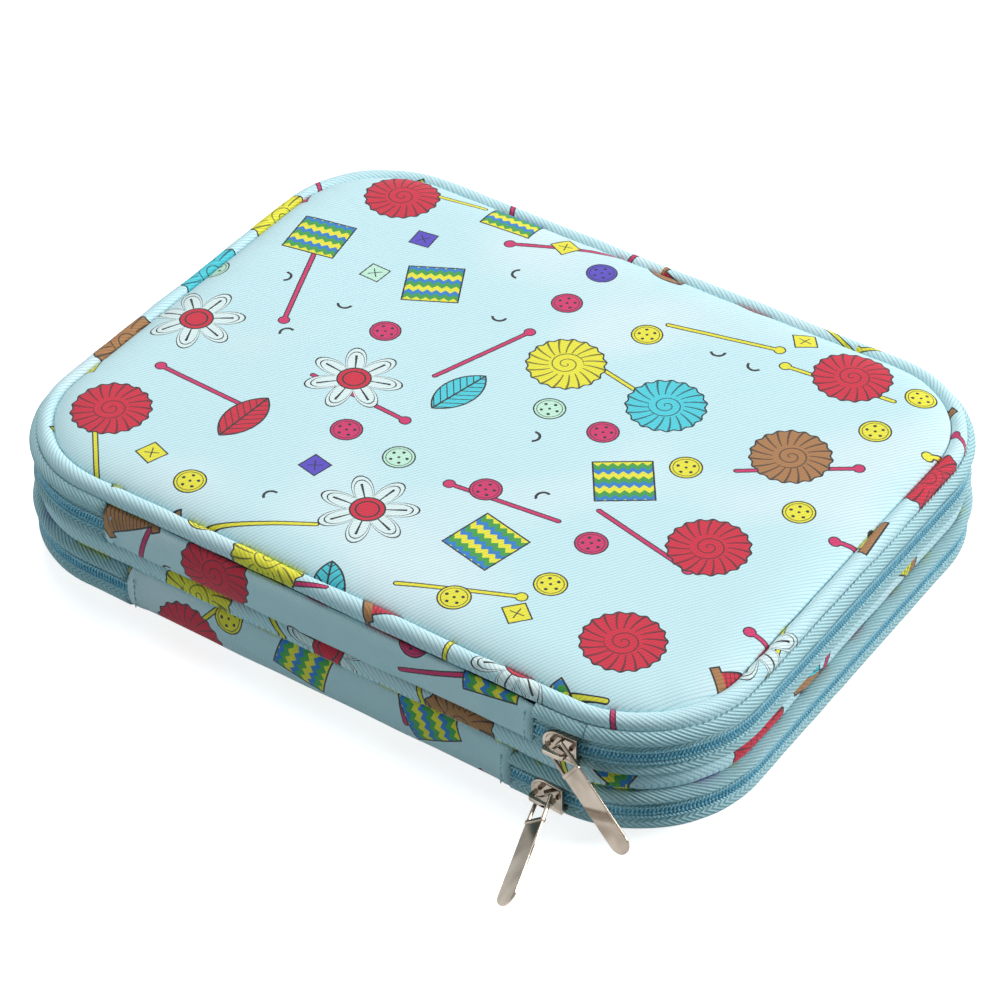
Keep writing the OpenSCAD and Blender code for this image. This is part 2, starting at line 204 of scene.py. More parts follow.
class NeedleCaseColours(bpy.types.PropertyGroup):
    """Colours of the cloths, the print, the zips and the metal."""

    cloth: colour_property("Cloth", "Ground of the printed twill", "#CDECF1")
    cloth_light: colour_property("Cloth, light", "Pale clouds in the printed ground", "#DDF0F4")
    ink: colour_property("Ink", "Outlines of the print", "#171B22")
    crimson: colour_property("Crimson", "Red motifs of the print", "#D3243F")
    magenta: colour_property("Magenta", "Pink motifs of the print", "#D6316C")
    yellow: colour_property("Yellow", "Yellow motifs of the print", "#F1E63C")
    violet: colour_property("Violet", "Violet motifs of the print", "#5B4AC0")
    turquoise: colour_property("Turquoise", "Turquoise motifs of the print", "#4FCFDD")
    green: colour_property("Green", "Green motifs of the print", "#3F9A45")
    ochre: colour_property("Ochre", "Brown motifs of the print", "#AD784A")
    tape: colour_property("Zip tape", "Woven zip tape", "#BCE4EA")
    coil: colour_property("Zip coil", "Nylon zip coil", "#95D6EA")
    thread: colour_property("Thread", "Stitching thread of the zips", "#B4E2EE")
    lining: colour_property("Lining", "Plain lining cloth", "#8CC5D2")
    elastic: colour_property("Elastic", "Knitted elastic", "#EEF0F0")
    metal: colour_property("Metal", "Nickel plate of the sliders and pulls", "#A2978B")


def sizes():
    """The scene's sizes, in metres."""
    return bpy.context.scene.needle_case_sizes


def colour(name):
    """One of the scene's colours as linear RGBA."""
    return tuple(getattr(bpy.context.scene.needle_case_colours, name))


# ---- Materials ----


# Outputs of the texture coordinate node: the UV map, and the piece's own coordinates
UV_MAP, OBJECT = 2, 3


def join(tree, value, socket):
    """Links an output to an input, or sets the input to a plain value."""
    if isinstance(value, bpy.types.NodeSocket):
        tree.links.new(value, socket)
    else:
        socket.default_value = value


def add(tree, kind, *values, out=0, **named):
    """Adds a node of a kind; a kind in capitals is an operation of the Math node. Values go to
    its inputs in order, named ones to its settings or inputs."""
    if kind.isupper():
        kind, named["operation"] = "Math", kind
    made = tree.nodes.new("ShaderNode" + kind)
    inputs = list(zip(made.inputs, values))
    for name, value in named.items():
        if name in made.bl_rna.properties:
            setattr(made, name, value)
        else:
            inputs.append((made.inputs[name.replace("_", " ")], value))
    for socket, value in inputs:
        join(tree, value, socket)
    return made.outputs[out]


def new_material(name):
    """An empty node material and its tree."""
    made = bpy.data.materials.new(name)
    made.use_nodes = True
    return made, made.node_tree


def finish_surface(made, tone, height, depth, strength, **inputs):
    """Gives a material's surface its colour, a bump of some depth and its other inputs."""
    tree = made.node_tree
    inputs["Base Color"] = tone
    inputs["Normal"] = add(tree, "Bump", Strength=strength, Distance=depth, Height=height)
    shader = tree.nodes["Principled BSDF"]
    for name, value in inputs.items():
        join(tree, value, shader.inputs[name.replace("_", " ")])
    return made


def flat_place(t, source):
    """A point's place in mm, by its UV map or by its own x and y."""
    metres = add(t, "TexCoord", out=source)
    return add(t, "VectorMath", metres, (1 / MM, 1 / MM, 0.0), operation="MULTIPLY")


def sine(t, value, times):
    """The sine of a value times a number."""
    return add(t, "SINE", add(t, "MULTIPLY", value, times))


def blend(t, value, low, high, tone, other, most=1.0):
    """From one colour towards another as a value goes from low to high."""
    return add(t, "MixRGB", add(t, "MapRange", value, low, high, 0.0, most), tone, other)


def seen_rays(t):
    """1 for rays from the camera, from mirrors and through clear pieces, and 0 for others."""
    rays = add(t, "LightPath").node.outputs
    seen = add(t, "MAXIMUM", rays["Is Camera Ray"], rays["Is Glossy Ray"])
    return add(t, "MAXIMUM", seen, rays["Is Transmission Ray"])


def choose(t, chance, shapes):
    """One of several (edge distance, colour) shapes, by a random value from 0 to 1."""
    edge, tone = shapes[0]
    for i, (next_edge, next_tone) in enumerate(shapes[1:], 1):
        chosen = add(t, "GREATER_THAN", chance, i / len(shapes))
        change = add(t, "SUBTRACT", next_edge, edge)
        edge = add(t, "MULTIPLY_ADD", change, chosen, edge)
        tone = add(t, "MixRGB", chosen, tone, next_tone)
    return edge, tone


def stroke(t, value, middle, half):
    """1 where a value is within half of middle, and 0 elsewhere."""
    off = add(t, "ABSOLUTE", add(t, "SUBTRACT", value, middle))
    return add(t, "LESS_THAN", off, half)


# How irregular the print's motifs lie, from 0 to 1, and how far a small motif's middle stays
# from a large one's, in mm
SCATTER = 0.45
CLEARANCE = 18.5
# The largest turn of a motif, in radians
FULL_TURN = 6.28


def ink_over(t, amount, tone):
    """Ink over a colour, by an amount from 0 to 1."""
    return add(t, "MixRGB", amount, tone, colour("ink"))


def draw(t, ground, edge, tone, rim, clear=None):
    """Draws a shape over a ground, inside its edge and with an ink rim, where it is clear."""
    inside = add(t, "LESS_THAN", edge, 0.0)
    outline = stroke(t, edge, 0.0, rim)
    if clear:
        inside = add(t, "MULTIPLY", inside, clear)
        outline = add(t, "MULTIPLY", outline, clear)
    return ink_over(t, outline, add(t, "MixRGB", inside, ground, tone))


def motif_cells(t, place, spacing):
    """Scattered motif places: where each is turned to, its chances, and its own coordinates."""
    cells = add(t, "TexVoronoi", place, voronoi_dimensions="2D", Scale=1 / spacing,
                Randomness=SCATTER)
    centre = cells.node.outputs["Position"]
    chance = add(t, "SeparateColor", cells.node.outputs["Color"]).node.outputs
    local = add(t, "VectorMath", place, centre, operation="SUBTRACT")
    angle = add(t, "MULTIPLY", chance[0], FULL_TURN)
    turned = add(t, "VectorRotate", local, rotation_type="Z_AXIS", Angle=angle)
    return centre, chance, turned


def measures(t, point):
    """A point's x and y, how far off each is, its distance from the middle, and its direction."""
    across, up, _ = add(t, "SeparateXYZ", point).node.outputs
    wide = add(t, "ABSOLUTE", across)
    tall = add(t, "ABSOLUTE", up)
    far = add(t, "VectorMath", point, operation="LENGTH", out=1)
    return across, up, wide, tall, far, add(t, "ARCTAN2", up, across)


def oblong(t, wide, tall, half_width, half_height):
    """How far a point is outside an oblong, or within it where less than 0."""
    return add(t, "MAXIMUM", add(t, "SUBTRACT", wide, half_width),
               add(t, "SUBTRACT", tall, half_height))


def large_motifs(t, place, ground):
    """The print's large motifs over a ground: pompoms, daisies, spools, patches and leaves. All
    motifs are measured in mm from their own middles."""
    spacing = sizes().motif_spacing / MM
    _centre, chance, turned = motif_cells(t, place, spacing)
    across, up, wide, tall, far, round_angle = measures(t, turned)
    dyes = add(t, "ValToRGB", chance[2])
    ramp = dyes.node.color_ramp
    ramp.interpolation = "CONSTANT"
    ramp.elements[0].color = colour("crimson")
    ramp.elements[1].position = 0.55
    ramp.elements[1].color = colour("ochre")
    ramp.elements.new(0.66).color = colour("turquoise")
    ramp.elements.new(0.84).color = colour("yellow")

    # Pompom: a scalloped disc with swirling strands
    scallop = sine(t, round_angle, 19)
    pompom = add(t, "SUBTRACT", far, add(t, "MULTIPLY_ADD", scallop, 0.35, 11.5))
    swirl = add(t, "MULTIPLY_ADD", round_angle, 19, add(t, "MULTIPLY", far, 0.5))
    strands = add(t, "GREATER_THAN", add(t, "SINE", swirl), 0.8)
    twist = add(t, "ADD", add(t, "MULTIPLY", far, 2.6), round_angle)
    winds = add(t, "GREATER_THAN", add(t, "SINE", twist), 0.86)
    ringed = add(t, "MixRGB", add(t, "LESS_THAN", far, 5.2), strands, winds)
    pompom_tone = ink_over(t, add(t, "MULTIPLY", ringed, 0.8), dyes)

    # Daisy: seven petals drawn in outline round a crimson eye
    lobes = add(t, "COSINE", add(t, "MULTIPLY", round_angle, 3.5))
    petal = add(t, "ABSOLUTE", lobes)
    daisy = add(t, "SUBTRACT", far, add(t, "MULTIPLY_ADD", petal, 8.5, 6.0))
    inner = stroke(t, daisy, -1.8, 0.22)
    veins = add(t, "MULTIPLY", add(t, "GREATER_THAN", petal, 0.992),
                add(t, "LESS_THAN", daisy, -3.4))
    petal_tone = ink_over(t, add(t, "MAXIMUM", inner, veins), linear("#E4F3F2"))
    eye_tone = ink_over(t, stroke(t, far, 3.3, 0.25), colour("crimson"))
    eye_tone = ink_over(t, stroke(t, far, 5.0, 0.3), eye_tone)
    daisy_tone = add(t, "MixRGB", add(t, "LESS_THAN", far, 5.2), petal_tone, eye_tone)

    # Spool: wound thread between two wooden ends
    end_out = add(t, "ABSOLUTE", add(t, "SUBTRACT", tall, 8.6))
    ends = oblong(t, wide, end_out, 7.4, 1.3)
    spool = add(t, "MINIMUM", oblong(t, wide, tall, 5.6, 8.5), ends)
    winding = sine(t, add(t, "MULTIPLY_ADD", across, 0.18, up), 5.0)
    thread_tone = ink_over(t, add(t, "GREATER_THAN", winding, 0.8), dyes)
    spool_tone = add(t, "MixRGB", add(t, "LESS_THAN", ends, 0.0), thread_tone, colour("ochre"))

    # Patch: a knitted square with zigzag stripes
    patch = add(t, "SUBTRACT", add(t, "MAXIMUM", wide, tall), 8.5)
    zigzag = add(t, "ADD", up, add(t, "PINGPONG", across, 1.4))
    stripe = add(t, "FLOORED_MODULO", zigzag, 6.0)
    first = add(t, "MixRGB", add(t, "GREATER_THAN", stripe, 2.0), colour("green"),
                colour("yellow"))
    patch_tone = add(t, "MixRGB", add(t, "GREATER_THAN", stripe, 4.2), first, linear("#2F7FC8"))

    # Leaf: two arcs that meet at points, with a midrib and side veins
    right = add(t, "VectorMath", turned, (7.5, 0.0, 0.0), operation="DISTANCE", out=1)
    left = add(t, "VectorMath", turned, (-7.5, 0.0, 0.0), operation="DISTANCE", out=1)
    leaf = add(t, "SUBTRACT", add(t, "MAXIMUM", right, left), 13.0)
    side_vein = add(t, "SUBTRACT", up, add(t, "MULTIPLY", wide, 0.9))
    ribs = add(t, "GREATER_THAN", sine(t, side_vein, 2.4), 0.87)
    midrib = add(t, "LESS_THAN", wide, 0.3)
    leaf_tone = ink_over(t, add(t, "MAXIMUM", ribs, midrib), dyes)

    edge, tone = choose(t, chance[1], [(pompom, pompom_tone), (daisy, daisy_tone),
                                       (spool, spool_tone), (patch, patch_tone),
                                       (leaf, leaf_tone)])
    return draw(t, ground, edge, tone, 0.26)


def small_motifs(t, place, ground):
    """The print's small motifs between the large ones: bobbins, squares and little arcs."""
    spacing = sizes().motif_spacing / MM
    centre, chance, turned = motif_cells(t, place, spacing / 2.1)
    # Only where the nearest large motif's middle is far enough from this one's
    large = add(t, "TexVoronoi", centre, voronoi_dimensions="2D", Scale=1 / spacing,
                Randomness=SCATTER)
    clear = add(t, "GREATER_THAN", large, CLEARANCE / spacing)
    _across, up, wide, tall, far, round_angle = measures(t, turned)

    # Bobbin: a disc with five holes round its middle
    bobbin = add(t, "SUBTRACT", far, 4.6)
    aside = add(t, "MULTIPLY", sine(t, round_angle, 2.5), 0.95)
    out = add(t, "SUBTRACT", far, 2.4)
    hole = add(t, "VectorMath", add(t, "CombineXYZ", aside, out), operation="LENGTH", out=1)
    dots = add(t, "MAXIMUM", add(t, "LESS_THAN", hole, 0.5), add(t, "LESS_THAN", far, 0.45))
    marks = add(t, "MAXIMUM", dots, stroke(t, far, 3.7, 0.12))
    dyes = add(t, "ValToRGB", chance[2])
    ramp = dyes.node.color_ramp
    ramp.interpolation = "CONSTANT"
    ramp.elements[0].color = colour("yellow")
    ramp.elements[1].position = 0.42
    ramp.elements[1].color = colour("violet")
    ramp.elements.new(0.62).color = colour("magenta")
    ramp.elements.new(0.85).color = linear("#C8F0D8")
    bobbin_tone = ink_over(t, marks, dyes)

    # Square of cloth with a cross stitch, and an arc drawn in ink
    square = add(t, "SUBTRACT", add(t, "MAXIMUM", wide, tall), 3.3)
    cross = add(t, "ABSOLUTE", add(t, "SUBTRACT", wide, tall))
    stitch = add(t, "MULTIPLY", add(t, "LESS_THAN", cross, 0.25), add(t, "LESS_THAN", far, 2.2))
    square_tone = ink_over(t, stitch, dyes)
    arc_out = add(t, "ABSOLUTE", add(t, "SUBTRACT", far, 2.1))
    arc = oblong(t, arc_out, up, 0.2, -0.5)

    edge, tone = choose(t, chance[1], [(bobbin, bobbin_tone), (bobbin, bobbin_tone),
                                       (square, square_tone), (arc, colour("ink"))])
    return draw(t, ground, edge, tone, 0.22, clear)


def pins(t, place, ground):
    """Long pins of the print, each a thin bar with a round head, under the other motifs."""
    shifted = add(t, "VectorMath", place, (31.0, 17.0, 0.0), operation="ADD")
    _centre, chance, turned = motif_cells(t, shifted, sizes().motif_spacing / MM * 1.15)
    parts = add(t, "SeparateXYZ", turned).node.outputs
    past = add(t, "SUBTRACT", add(t, "ABSOLUTE", parts[0]), 17.0)
    flat = add(t, "CombineXYZ", add(t, "MAXIMUM", past, 0.0), parts[1])
    shaft = add(t, "SUBTRACT", add(t, "VectorMath", flat, operation="LENGTH", out=1), 0.7)
    to_head = add(t, "VectorMath", turned, (17.5, 0.0, 0.0), operation="DISTANCE", out=1)
    head = add(t, "SUBTRACT", to_head, 1.7)
    edge = add(t, "MINIMUM", shaft, head)
    paint = add(t, "MixRGB", add(t, "GREATER_THAN", chance[2], 0.5), colour("magenta"),
                colour("yellow"))
    return draw(t, ground, edge, paint, 0.2)


def printed_twill(name, source, rib_turn, rib_scale, painted_groove_shade, shift):
    """Polyester twill with a transfer print: fine diagonal ribs that catch the light, painted shade
    in their grooves, and pale clouds in the ground. Ribs are drawn at their real spacing."""
    made, t = new_material(name)
    raw = flat_place(t, source)
    place = add(t, "VectorMath", raw, shift, operation="ADD")
    # Noise scales are per mm: clouds some 60 mm wide, and ribs that stray over some 17 mm
    cloud = add(t, "TexNoise", place, noise_dimensions="2D", Scale=0.017, Detail=1.0)
    ground = blend(t, cloud, 0.55, 0.75, colour("cloth"), colour("cloth_light"))
    inked = pins(t, place, ground)
    inked = small_motifs(t, place, inked)
    inked = large_motifs(t, place, inked)

    wobble = add(t, "TexNoise", place, noise_dimensions="2D", Scale=0.06, Detail=1.0)
    turned = add(t, "VectorRotate", raw, rotation_type="Z_AXIS", Angle=rib_turn)
    parts = add(t, "SeparateXYZ", turned).node.outputs
    step = math.pi * MM / (sizes().rib_pitch * rib_scale)
    count = add(t, "MULTIPLY_ADD", parts[1], step, add(t, "MULTIPLY", wobble, 2.0))
    rib = add(t, "ABSOLUTE", add(t, "SINE", count))
    weft = add(t, "SINE", add(t, "MULTIPLY_ADD", parts[0], 2 * step, count))
    height = add(t, "MULTIPLY_ADD", weft, 0.12, rib)
    # Painted shade: the colour darkens in the grooves between the ribs, over ground and ink alike, as shade
    # would fall there
    painted_groove_mask = add(t, "MapRange", rib, 0.0, 0.6, painted_groove_shade, 0.0)
    tone = add(t, "MixRGB", painted_groove_mask, inked, linear("#8FC3D0"), blend_type="MULTIPLY")
    return finish_surface(made, tone, height, 0.12 * MM, 0.6, Roughness=0.78, Sheen_Weight=0.12,
                          Sheen_Roughness=0.5)


def zip_tape_weave():
    """Woven polyester zip tape: crisp diagonal ribs that turn once, beside the chain, with painted
    shade in the grooves between them and in the low spots of a soft, slightly felted face."""
    made, t = new_material("Zip tape, woven polyester")
    place = flat_place(t, UV_MAP)
    parts = add(t, "SeparateXYZ", place).node.outputs
    rib_pitch, rib_length, rib_slope = 0.9, 6.5, -1.6
    zigzag = add(t, "PINGPONG", parts[1], rib_length)
    slant = add(t, "MULTIPLY_ADD", zigzag, rib_slope, parts[0])
    rib = sine(t, slant, math.pi / rib_pitch)
    fuzz = add(t, "TexNoise", place, noise_dimensions="2D", Scale=1.6, Detail=3.0)
    height = add(t, "MULTIPLY_ADD", fuzz, 0.9, rib)
    # Painted shade: the grooves and the low spots of the felt darken towards deep teal, as shade would fall
    # in them
    painted_groove_shade = add(t, "MapRange", height, -0.6, 1.0, 0.5, 0.0)
    tone = add(t, "MixRGB", painted_groove_shade, colour("tape"), linear("#3E7684"))
    return finish_surface(made, tone, height, 0.13 * MM, 0.8, Roughness=0.9, Sheen_Weight=0.2,
                          Sheen_Roughness=0.6)


def zip_coil_nylon():
    """Moulded nylon coil: smooth blue filament with small soft highlights on each turn."""
    made, t = new_material("Zip coil, nylon filament")
    metres = add(t, "TexCoord", out=OBJECT)
    mottle = add(t, "TexNoise", metres, Scale=900.0, Detail=2.0)
    tone = blend(t, mottle, 0.3, 0.7, colour("coil"), linear("#5CABC6"))
    return finish_surface(made, tone, mottle, 0.03 * MM, 0.3, Roughness=0.42, IOR=1.53)


def sewing_thread():
    """Spun polyester thread: two twisted plies, drawn coarser than real so that they show."""
    made, t = new_material("Thread, spun polyester")
    metres = add(t, "TexCoord", out=OBJECT)
    ply = add(t, "TexWave", metres, bands_direction="DIAGONAL", Scale=500.0, Distortion=1.0)
    tone = add(t, "MixRGB", add(t, "MULTIPLY", ply, 0.4), colour("thread"), linear("#6FA6B2"))
    return finish_surface(made, tone, ply, 0.08 * MM, 0.4, Roughness=0.75)


def nickel_plate():
    """Polished nickel plate on cast zinc: a warm grey mirror with a faint ripple and fine
    tumbling scratches that break its reflections."""
    made, t = new_material("Nickel plate, polished")
    metres = add(t, "TexCoord", out=OBJECT)
    ripple = add(t, "TexNoise", metres, Scale=160.0, Detail=1.0)
    along = add(t, "VectorMath", metres, (1.0, 1.0, 9.0), operation="MULTIPLY")
    scratches = add(t, "TexNoise", along, Scale=900.0, Detail=3.0)
    tone = blend(t, ripple, 0.35, 0.7, colour("metal"), linear("#857B6F"))
    height = add(t, "MULTIPLY_ADD", scratches, 0.25, ripple)
    rough = add(t, "MapRange", scratches, 0.3, 0.75, 0.06, 0.13)
    return finish_surface(made, tone, height, 0.02 * MM, 0.15, Metallic=1.0, Roughness=rough)


def lining_taffeta():
    """Plain woven polyester taffeta: a fine over-and-under weave with a slight sheen."""
    made, t = new_material("Lining, polyester taffeta")
    place = flat_place(t, OBJECT)
    parts = add(t, "SeparateXYZ", place).node.outputs
    yarn = 0.8
    height = add(t, "MULTIPLY", sine(t, parts[0], math.pi / yarn),
                 sine(t, parts[1], math.pi / yarn))
    slub = add(t, "TexNoise", place, noise_dimensions="2D", Scale=0.8, Detail=2.0)
    tone = blend(t, slub, 0.35, 0.7, colour("lining"), linear("#6FB0C0"), most=0.35)
    return finish_surface(made, tone, height, 0.05 * MM, 0.5, Roughness=0.55, Sheen_Weight=0.25)


def knitted_elastic():
    """Knitted elastic: lengthwise ribs crossed by short knitted loops."""
    made, t = new_material("Elastic, knitted")
    place = flat_place(t, OBJECT)
    parts = add(t, "SeparateXYZ", place).node.outputs
    rib_pitch, loop_pitch = 1.1, 0.7
    rib = sine(t, parts[0], math.pi / rib_pitch)
    loop = sine(t, parts[1], math.pi / loop_pitch)
    height = add(t, "MULTIPLY_ADD", loop, 0.5, add(t, "ABSOLUTE", rib))
    # Painted shade: the hollows between the ribs and the loops darken in colour, as shade would fall there
    painted_groove_shade = add(t, "MapRange", height, -0.3, 1.0, 0.35, 0.0)
    tone = add(t, "MixRGB", painted_groove_shade, colour("elastic"), linear("#A9B6BA"))
    return finish_surface(made, tone, height, 0.12 * MM, 0.5, Roughness=0.85)


def core_sheet(name, light, dark, grain, depth, rough):
    """A stiffening or padding sheet inside a leaf, with a grain of a given size in mm."""
    made, t = new_material(name)
    metres = add(t, "TexCoord", out=OBJECT)
    cells = add(t, "TexVoronoi", metres, Scale=1000.0 / grain)
    tone = blend(t, cells, 0.1, 0.8, linear(dark), linear(light))
    return finish_surface(made, tone, cells, depth * MM, 0.5, Roughness=rough)


MATERIALS = {}


def material(name):
    """A material by its short name, made when it is first asked for."""
    makers = {
        "panel": lambda: printed_twill("Printed twill, panels", OBJECT, math.radians(-57), 1.1,
                                       0.5, (412.0, 327.0, 0.0)),
        # Stretched round the rolls, the same cloth opens its ribs
        "trim": lambda: printed_twill("Printed twill, pipings", UV_MAP, math.radians(36), 1.15,
                                      0.75, (71.0, 9.0, 0.0)),
        "band": lambda: printed_twill("Printed twill, spine bands", UV_MAP, math.radians(40), 1.0,
                                      0.25, (151.0, 62.0, 0.0)),
        "tape": zip_tape_weave,
        "coil": zip_coil_nylon,
        "thread": sewing_thread,
        "metal": nickel_plate,
        "lining": lining_taffeta,
        "elastic": knitted_elastic,
        # Open-cell polyurethane foam: small pale cells
        "foam": lambda: core_sheet("Foam, polyurethane", "#F4F3EC", "#CFCDBF", 0.6, 0.1, 0.95),
        # Pressed paper board: grey, with short fibres
        "board": lambda: core_sheet("Board, pressed paper", "#D2CEC2", "#A9A598", 0.35, 0.03, 0.9),
    }
    if name not in MATERIALS:
        MATERIALS[name] = makers[name]()
    return MATERIALS[name]


# ---- Shapes ----


def grid(columns, rows, low, high, z=0.0):
    """A flat grid from one corner to the other, in a bmesh of its own."""
    bm = bmesh.new()
    bmesh.ops.create_grid(bm, x_segments=columns, y_segments=rows, size=0.5)
    middle = ((low[0] + high[0]) / 2, (low[1] + high[1]) / 2, z)
    bmesh.ops.scale(bm, verts=bm.verts, vec=(high[0] - low[0], high[1] - low[1], 1))
    bmesh.ops.translate(bm, verts=bm.verts, vec=middle)
    return bm


def last_swept(geometry):
    """The points of newly swept geometry, and the edges that join them."""
    verts = [g for g in geometry if isinstance(g, bmesh.types.BMVert)]
    edges = [g for g in geometry if isinstance(g, bmesh.types.BMEdge)
             and all(v in verts for v in g.verts)]
    return verts, edges


def extrude(bm, edges, move):
    """Extrudes edges by a move, and returns the new points and edges."""
    verts, edges = last_swept(bmesh.ops.extrude_edge_only(bm, edges=edges)["geom"])
    bmesh.ops.translate(bm, verts=verts, vec=move)
    return verts, edges


def sweep(profile, start=0.0, end=PERIMETER, closed=True):
    """Runs a profile of (reach, height) points along the outline, from one place to another."""
    bm = bmesh.new()
    around = bm.verts.layers.float.new("around")
    here = place_on_outline(start)
    verts = []
    length = 0.0
    for i, (out, z) in enumerate(profile):
        if i:
            length += math.dist(profile[i - 1], profile[i])
        verts.append(bm.verts.new(here @ Vector((0, out, z))))
        verts[-1][around] = length
    pairs = list(zip(verts, verts[1:] + verts[:1] if closed else verts[1:]))
    edges = [bm.edges.new(pair) for pair in pairs]
    for run_start, run_end, direction, centre in outline_runs():
        length = min(end, run_end) - max(start, run_start)
        if length < 1e-7:
            continue
        steps = max(1, round(length / STEP))
        if centre:
            spun = bmesh.ops.spin(bm, geom=verts + edges, cent=(*centre, 0), axis=(0, 0, 1),
                                  angle=length / CORNER_RADIUS, steps=steps)
            verts, edges = last_swept(spun["geom_last"])
            continue
        for _ in range(steps):
            verts, edges = extrude(bm, edges, Vector((*direction, 0)) * length / steps)
    if end - start > PERIMETER - WELD:
        bmesh.ops.remove_doubles(bm, verts=bm.verts, dist=WELD)
    elif closed:
        ends = [edge for edge in bm.edges if edge.is_boundary]
        bmesh.ops.holes_fill(bm, edges=ends, sides=0)
    bmesh.ops.recalc_face_normals(bm, faces=bm.faces)
    return bm


# How far apart in the cloth two pieces with successive cuts are, in metres
CUT_SHIFT = (0.29, 0.17)


def unroll(bm, cut=0):
    """Gives a swept piece a UV map in metres: along the outline, and round its profile."""
    around = bm.verts.layers.float["around"]
    girth = max(v[around] for v in bm.verts)
    uv = bm.loops.layers.uv.new("Unrolled")
    for face in bm.faces:
        middle = face.calc_center_median()
        at = along_outline(middle.x, middle.y)
        near = min(loop.vert[around] for loop in face.loops)
        for loop in face.loops:
            s = along_outline(loop.vert.co.x, loop.vert.co.y)
            if abs(s - at) > PERIMETER / 2:
                s += math.copysign(PERIMETER, at - s)
            r = loop.vert[around]
            if r - near > girth / 2 and len(face.verts) == 4:
                r -= girth
            loop[uv].uv = (s + CUT_SHIFT[0] * cut, r + CUT_SHIFT[1] * cut)


def ruffle(bm, amount, wave, seed=0.0):
    """Moves a cloth's points in and out by a smooth unevenness of a given wave length."""
    bm.normal_update()
    shift = Vector((seed, seed, seed))
    for vert in bm.verts:
        vert.co += vert.normal * (noise.noise(vert.co / wave + shift) * amount)


def to_mesh(bm, name):
    """Turns a finished bmesh into a mesh."""
    mesh = bpy.data.meshes.new(name)
    bm.to_mesh(mesh)
    bm.free()
    return mesh


def new_object(name, data):
    """Puts a mesh, a lamp or a camera in the scene."""
    made = bpy.data.objects.new(name, data)
    bpy.context.collection.objects.link(made)
    return made


def new_piece(bm, name, nodes, materials, body=None, bends=False):
    """Makes a finished bmesh a piece that rides on its body and stands for its CAD nodes.
    A piece that bends between two bodies rides on neither."""
    mesh = to_mesh(bm, name)
    for one in materials:
        mesh.materials.append(material(one))
    for face in mesh.polygons:
        face.use_smooth = True
    piece = new_object(name, mesh)
    if nodes:
        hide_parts(*nodes)
    if not bends:
        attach(piece, body or body_of_node(nodes[0]))
    return piece


def thicken(piece, thickness, offset, name="Cloth thickness"):
    """Gives a cloth piece its thickness, inwards at an offset of -1 and both ways at 0."""
    shell = piece.modifiers.new(name, "SOLIDIFY")
    shell.thickness = thickness
    shell.offset = offset


def cloth_panel(edge, edge_z, middle_z, curve, pucker, wave):
    """A cloth panel over a leaf: it curves up or down from its seam and is flat across."""
    steps = 12
    rise = middle_z - edge_z
    profile = []
    for i in range(steps + 1):
        t = math.pi / 2 * i / steps
        profile.append((edge - curve * (1 - math.cos(t)), edge_z + rise * math.sin(t) ** 0.9))
    inner = profile[-1][0]
    profile += [(inner * (1 - i / 8), middle_z) for i in range(1, 9)]
    bm = sweep(profile, closed=False)
    row = [e for e in bm.edges if e.is_boundary and all(
        abs(v.co.y + CORNER_Y) < WELD and abs(v.co.x) < CORNER_X + WELD for v in e.verts)]
    steps = 2 * round(CORNER_Y / STEP)
    for _ in range(steps):
        _verts, row = extrude(bm, row, (0, 2 * CORNER_Y / steps, 0))
    bmesh.ops.remove_doubles(bm, verts=bm.verts, dist=WELD)
    bmesh.ops.dissolve_degenerate(bm, edges=bm.edges, dist=1e-7)
    bmesh.ops.recalc_face_normals(bm, faces=bm.faces)
    facing = 1 if rise >= 0 else -1
    top = max(bm.faces, key=lambda face: face.calc_area())
    if top.normal.z * facing < 0:
        bmesh.ops.reverse_faces(bm, faces=bm.faces)
    # Puckers fade inwards from the seam, and a slow unevenness crosses the panel
    for vert in bm.verts:
        s = along_outline(vert.co.x, vert.co.y)
        near = max(0.0, 1 - abs(vert.co.z - middle_z) / max(abs(rise), WELD))
        inside = max(0.0, min(1.0, (abs(middle_z - vert.co.z) + 0.2 * MM) / (abs(rise) + WELD)))
        ripple = noise.noise(Vector((s / (7 * MM), 0.3, 0))) * pucker * inside * near * 4
        slow = noise.noise(Vector((vert.co.x / wave, vert.co.y / wave, 0.7))) * near
        vert.co.z += facing * (ripple + slow * 0.35 * MM)
    return bm


def stamp(bm, unit, matrix):
    """Adds a small repeated shape to a bmesh at a place."""
    copy = unit.copy()
    copy.transform(matrix)
    bm.from_mesh(copy)
    bpy.data.meshes.remove(copy)


def bead(half_length, half_out, half_height, material_index=0):
    """A small rounded bar, long in x, for a coil's turn or a stitch."""
    bm = bmesh.new()
    bmesh.ops.create_uvsphere(bm, u_segments=6, v_segments=4, radius=1.0)
    bmesh.ops.rotate(bm, verts=bm.verts, matrix=Matrix.Rotation(math.pi / 2, 3, "Y"))
    bmesh.ops.scale(bm, verts=bm.verts, vec=(half_length, half_out, half_height))
    for face in bm.faces:
        face.material_index = material_index
    return to_mesh(bm, "bead")


# ---- Pieces ----


class NEEDLECASE_OT_covers(bpy.types.Operator):
    """Makes the printed cloth panels on top of the lid and under the base"""

    bl_idname = "needle_case.covers"
    bl_label = "Printed panels"

    def execute(self, context):
        pucker = sizes().seam_pucker
        low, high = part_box("lid_cover")
        edge = high[0] - CORNER_X + 0.3 * MM
        bm = cloth_panel(edge, low[2] + 0.5 * MM, high[2], 13 * MM, pucker, 45 * MM)
        lid = new_piece(bm, "lid_panel", ["lid_cover"], ["panel"])
        low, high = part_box("base_cover")
        edge = high[0] - CORNER_X - 2.3 * MM
        bm = cloth_panel(edge, high[2] + 1.4 * MM, low[2] + 0.4 * MM, 8 * MM, 0, 60 * MM)
        base = new_piece(bm, "base_panel", ["base_cover"], ["panel"])
        for piece, fill in ((lid, 0.7), (base, 0.4)):
            thicken(piece, 0.6 * MM, -1)
        return {"FINISHED"}


